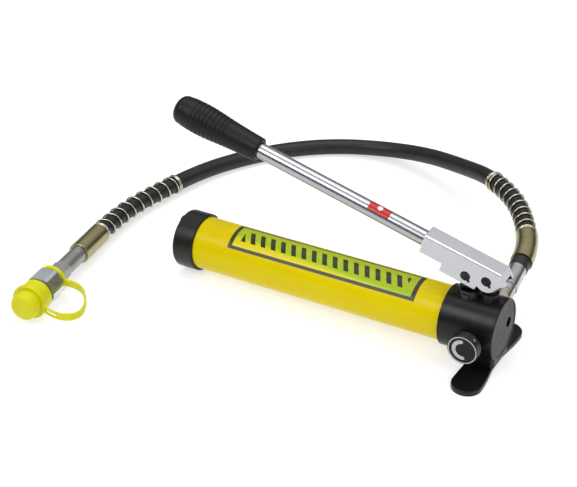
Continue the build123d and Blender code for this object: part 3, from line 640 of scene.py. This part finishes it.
OXIDE = metal("black oxide", (0.018, 0.018, 0.019), (0.045, 0.044, 0.042), (0.30, 0.48), 120, None, None, 1400, 0.00004)
STEEL = metal("ground steel", (0.42, 0.42, 0.43), (0.62, 0.62, 0.63), (0.20, 0.36), 60, None, None, 1600, 0.00002)
GREY_ZINC = metal("clear zinc", (0.30, 0.30, 0.29), (0.42, 0.42, 0.40), (0.38, 0.52), 70, None, None, 1300, 0.00003)
MESH = metal("strainer wire", (0.35, 0.35, 0.33), (0.55, 0.55, 0.52), (0.30, 0.45), 900, None, None, 1600, 0.0001)


def passivated(name, axis_rot=None):
    """Yellow passivated zinc: olive gold with a drift towards pink and green."""
    k = Mat(name)
    k.set(Metallic=1.0)
    drift = k.noise(22, 4, 0.6)
    col = k.ramp(drift, [(0.28, (0.27, 0.29, 0.12)), (0.46, (0.37, 0.35, 0.17)), (0.60, (0.40, 0.34, 0.19)),
                         (0.74, (0.33, 0.33, 0.16))])
    fine = k.noise(900, 3, 0.6)
    return k.out(col, k.map(k.noise(80, 4), 0.22, 0.34), k.bump(fine, 0.00003, 0.3))


FERRULE = passivated("yellow zinc")
WIRE_MAT = metal("spring wire", (0.44, 0.42, 0.32), (0.66, 0.63, 0.52), (0.20, 0.32), 160, None, None, 1400, 0.00001)
GRIP = rubber("grip rubber", (0.006, 0.006, 0.0057), (0.38, 0.50), 1300, 0.00005, 0.22)
SEAL = rubber("seal rubber")
BAND = rubber("sleeve rubber", (0.010, 0.010, 0.010), (0.42, 0.55), 1200, 0.00004)

# hose cover: smooth satin rubber with the faint print of its wrapping tape
k = Mat("hose cover")
k.set(Specular_IOR_Level=0.33)
col = k.ramp(k.noise(50, 5, 0.6), [(0.3, (0.008, 0.008, 0.0078)), (0.7, (0.014, 0.014, 0.0135))])
weave = k.new("ShaderNodeTexWave", wave_type="BANDS", bands_direction="DIAGONAL")
weave.inputs["Scale"].default_value = 260
weave.inputs["Distortion"].default_value = 1.5
k.link(k.coord.outputs["Object"], weave.inputs["Vector"])
tape = k.bump(weave.outputs["Fac"], 0.00003, 0.25)
fine = k.noise(1500, 3, 0.6)
HOSE = k.out(col, k.map(k.noise(90, 4), 0.36, 0.48), k.bump(fine, 0.00003, 0.3, tape))

KNOB = rubber("knob moulding", (0.009, 0.009, 0.010), (0.32, 0.44), 1300, 0.00003, 0.4)
KNOB_FACE = rubber("knob face", (0.006, 0.006, 0.006), (0.50, 0.62), 1000, 0.00002, 0.25)
k = Mat("pale print")
PRINT = k.out(k.ramp(k.noise(300, 4), [(0.3, (0.40, 0.40, 0.41)), (0.7, (0.52, 0.52, 0.53))]),
              k.map(k.noise(200, 3), 0.40, 0.52), k.bump(k.noise(1500, 2), 0.00002, 0.3))

# dust cap and strap: soft fluorescent moulding
k = Mat("fluorescent moulding")
k.set(Subsurface_Weight=0.12, Subsurface_Radius=(0.003, 0.003, 0.001), Subsurface_Scale=1.0, Specular_IOR_Level=0.3)
col = k.ramp(k.noise(35, 4, 0.6), [(0.3, (0.60, 0.59, 0.0)), (0.7, (0.67, 0.65, 0.004))])
FLUO = k.out(col, k.map(k.noise(120, 4), 0.34, 0.46), k.bump(k.noise(900, 3), 0.00004, 0.3))

# label: dark frame, green field fading to yellow, and a plain run of slanted bars
k = Mat("label film")
k.set(Specular_IOR_Level=0.22, Coat_Weight=0.1, Coat_Roughness=0.12)
sep = k.new("ShaderNodeSeparateXYZ")
k.link(k.coord.outputs["UV"], sep.inputs["Vector"])
U, V = sep.outputs["X"], sep.outputs["Y"]
LEN_MM = LX1 - LX0
ARC_MM = radians(LA1 - LA0) * 30.0


def inside(lo_u, hi_u, lo_v, hi_v):
    """1 within the rectangle (in mm from the label's corner), 0 outside."""
    m1 = k.math("MULTIPLY", k.math("GREATER_THAN", U, lo_u / LEN_MM), k.math("LESS_THAN", U, hi_u / LEN_MM))
    m2 = k.math("MULTIPLY", k.math("GREATER_THAN", V, lo_v / ARC_MM), k.math("LESS_THAN", V, hi_v / ARC_MM))
    return k.math("MULTIPLY", m1, m2)


field = inside(5.0, LEN_MM - 5.0, 3.6, ARC_MM - 3.8)
# green field, turning yellow towards its lower rear corner
fade = k.math("ADD", k.math("MULTIPLY", k.math("SUBTRACT", V, 0.45), 1.9), k.math("MULTIPLY", k.math("SUBTRACT", 0.5, U), 0.75))
grad = k.ramp(fade, [(0.20, (0.40, 0.50, 0.008)), (0.45, (0.32, 0.52, 0.008)), (0.75, (0.74, 0.62, 0.002))])
grain_n = k.noise(60, 4)
grad = k.mix(k.map(grain_n, 0.0, 0.12), grad, (0.30, 0.50, 0.02))
slant = k.math("ADD", k.math("MULTIPLY", U, LEN_MM / 12.8), k.math("MULTIPLY", V, -ARC_MM / 26.0))
saw = k.math("FRACT", slant)
bars = k.math("LESS_THAN", saw, 0.46)
bars = k.math("MULTIPLY", bars, inside(13.0, LEN_MM - 13.0, 11.0, ARC_MM - 11.0))
ink = k.mix(field, (0.045, 0.042, 0.018), grad)
ink = k.mix(bars, ink, (0.030, 0.032, 0.012))
LABEL = k.out(ink, k.map(k.noise(80, 3), 0.26, 0.36), k.bump(k.noise(500, 2), 0.00003, 0.2))

# sticker: red film with a plain pale stripe
k = Mat("sticker film")
k.set(Coat_Weight=0.5, Coat_Roughness=0.1)
sep = k.new("ShaderNodeSeparateXYZ")
k.link(k.coord.outputs["UV"], sep.inputs["Vector"])
U, V = sep.outputs["X"], sep.outputs["Y"]
dx = k.math("MULTIPLY", k.math("SUBTRACT", U, 0.5), 2.05)
dy = k.math("SUBTRACT", V, 0.42)
rr = k.math("SQRT", k.math("ADD", k.math("MULTIPLY", dx, dx), k.math("MULTIPLY", dy, dy)))
dot = k.math("LESS_THAN", rr, 0.24)
red = k.ramp(k.noise(200, 4), [(0.3, (0.40, 0.006, 0.005)), (0.7, (0.50, 0.010, 0.008))])
k.set(Specular_IOR_Level=0.2)
RED = k.out(k.mix(dot, red, (0.75, 0.72, 0.70)), k.map(k.noise(150, 3), 0.25, 0.35), k.bump(k.noise(700, 2), 0.00002, 0.2))

# adapter: nickel with a warm tone
ADAPTER = metal("warm nickel", (0.46, 0.43, 0.34), (0.66, 0.62, 0.52), (0.18, 0.30), 50, None, None, 1200, 0.00002)
TAIL = metal("nipple steel", (0.42, 0.42, 0.40), (0.60, 0.60, 0.57), (0.20, 0.32), 50, None, None, 1200, 0.00002)

NODE_MAT = {
    "pump_head": HEAD, "rear_cap": CAP, "foot_plate": FOOT, "reservoir_tube": YELLOW,
    "gland_nut": dark_paint("gland enamel", (0.011, 0.011, 0.012), (0.22, 0.34)), "plunger": OXIDE, "plunger_seal": SEAL, "tube_seals": SEAL,
    "tie_rod": STEEL, "tie_rod_nut": OXIDE, "filler_plug": OXIDE, "suction_tube": STEEL, "suction_strainer": MESH,
    "foot_screws": OXIDE, "gallery_plug": OXIDE, "lever_socket": SOCKET, "fulcrum_pin": OXIDE, "plunger_pin": OXIDE,
    "pin_keys": OXIDE, "lever_tube": CHROME_ROD, "grip": GRIP, "release_knob": KNOB, "knob_face": KNOB_FACE,
    "knob_marks": PRINT, "knob_set_screw": STEEL, "release_valve_stem": STEEL, "release_valve_ball": STEEL,
    "relief_screw": OXIDE, "relief_spring": WIRE_MAT, "relief_ball": STEEL, "inlet_check_ball": STEEL,
    "discharge_check_ball": STEEL, "discharge_check_spring": WIRE_MAT, "outlet_adapter": ADAPTER,
    "head_nipple": TAIL, "head_nipple_band": BAND, "head_ferrule": FERRULE, "coupler_ferrule": FERRULE,
    "coupler_nipple": GREY_ZINC, "coupler_body": CHROME, "coupler_collar": CHROME, "coupler_poppet": STEEL,
    "poppet_spring": WIRE_MAT, "dust_cap": FLUO, "hose": HOSE, "head_spring_guard": WIRE_MAT,
    "coupler_spring_guard": WIRE_MAT, "dust_cap_strap": FLUO,
}
for name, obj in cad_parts.items():
    mat = NODE_MAT[name]
    if not obj.material_slots:
        obj.data.materials.append(mat)
    for sl_ in obj.material_slots:
        sl_.link = "OBJECT"
        sl_.material = mat

for obj, mat in ((hose, HOSE), (head_spring, WIRE_MAT), (coupler_spring, WIRE_MAT), (grip, GRIP), (strap, FLUO),
                 (strap_ring, FLUO), (label, LABEL), (sticker, RED)):
    obj.data.materials.append(mat)

# ---------------------------------------------------------------- what rides on what
for obj, body, node in ((hose, "pump_body", "hose"), (head_spring, "pump_body", "head_spring_guard"),
                        (coupler_spring, "pump_body", "coupler_spring_guard"), (grip, "lever", "grip")):
    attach(obj, body)
    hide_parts(node)
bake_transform(strap)
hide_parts("dust_cap_strap")
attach(strap_ring, "pump_body")
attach(label, "pump_body")
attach(sticker, "lever")

# ---------------------------------------------------------------- floor, light
bm = bmesh.new()
bmesh.ops.create_grid(bm, x_segments=8, y_segments=8, size=9.0)
mesh = bpy.data.meshes.new("floor")
bm.to_mesh(mesh)
bm.free()
floor = link(bpy.data.objects.new("floor", mesh))
floor.location = (0, 0, -0.0002)
k = Mat("floor white")
k.set(Specular_IOR_Level=0.1, Roughness=0.9, Emission_Color=(1, 1, 1, 1), Emission_Strength=0.60)
k.out(k.ramp(k.noise(0.6, 2), [(0.3, (0.50, 0.50, 0.50)), (0.7, (0.52, 0.52, 0.52))]))
floor.data.materials.append(k.m)

world = bpy.data.worlds.new("studio")
bpy.context.scene.world = world
world.use_nodes = True
wt = world.node_tree
bg = wt.nodes["Background"]
tc = wt.nodes.new("ShaderNodeTexCoord")
sp = wt.nodes.new("ShaderNodeSeparateXYZ")
rp = wt.nodes.new("ShaderNodeValToRGB")
el = rp.color_ramp.elements
el[0].position, el[0].color = 0.50, (0.05, 0.052, 0.056, 1)
el[1].position, el[1].color = 1.0, (1.0, 1.0, 1.0, 1)
for pos, col in ((0.63, (0.07, 0.075, 0.08, 1)), (0.70, (0.55, 0.57, 0.60, 1)), (0.80, (1.0, 1.0, 1.0, 1))):
    q = el.new(pos)
    q.color = col
mr = wt.nodes.new("ShaderNodeMapRange")
mr.inputs["From Min"].default_value = -1.0
wt.links.new(tc.outputs["Generated"], sp.inputs["Vector"])
wt.links.new(sp.outputs["Z"], mr.inputs["Value"])
wt.links.new(mr.outputs["Result"], rp.inputs["Fac"])
lp = wt.nodes.new("ShaderNodeLightPath")
mx = wt.nodes.new("ShaderNodeMix")
mx.data_type = "RGBA"
mx.inputs[7].default_value = (1.7, 1.7, 1.7, 1)
wt.links.new(lp.outputs["Is Camera Ray"], mx.inputs[0])
wt.links.new(rp.outputs["Color"], mx.inputs[6])
wt.links.new(mx.outputs[2], bg.inputs["Color"])
bg.inputs["Strength"].default_value = 0.62


def area(name, loc, target, size, power, color=(1, 1, 1)):
    d = bpy.data.lights.new(name, "AREA")
    d.shape = "RECTANGLE"
    d.size, d.size_y = size
    d.energy = power
    d.color = color
    o = link(bpy.data.objects.new(name, d))
    o.location = loc
    o.rotation_euler = (Vector(target) - Vector(loc)).to_track_quat("-Z", "Y").to_euler()
    return o


area("key", (-1.0, -1.6, 1.9), (-0.15, 0.1, 0.05), (1.6, 1.0), 24)
area("fill", (1.9, -0.6, 1.3), (-0.1, 0.1, 0.05), (1.2, 1.2), 11)
area("top", (-0.2, 0.5, 2.4), (-0.2, 0.1, 0.0), (2.4, 1.6), 26)

bpy.context.scene.view_settings.view_transform = "Standard"

bpy.context.view_layer.update()
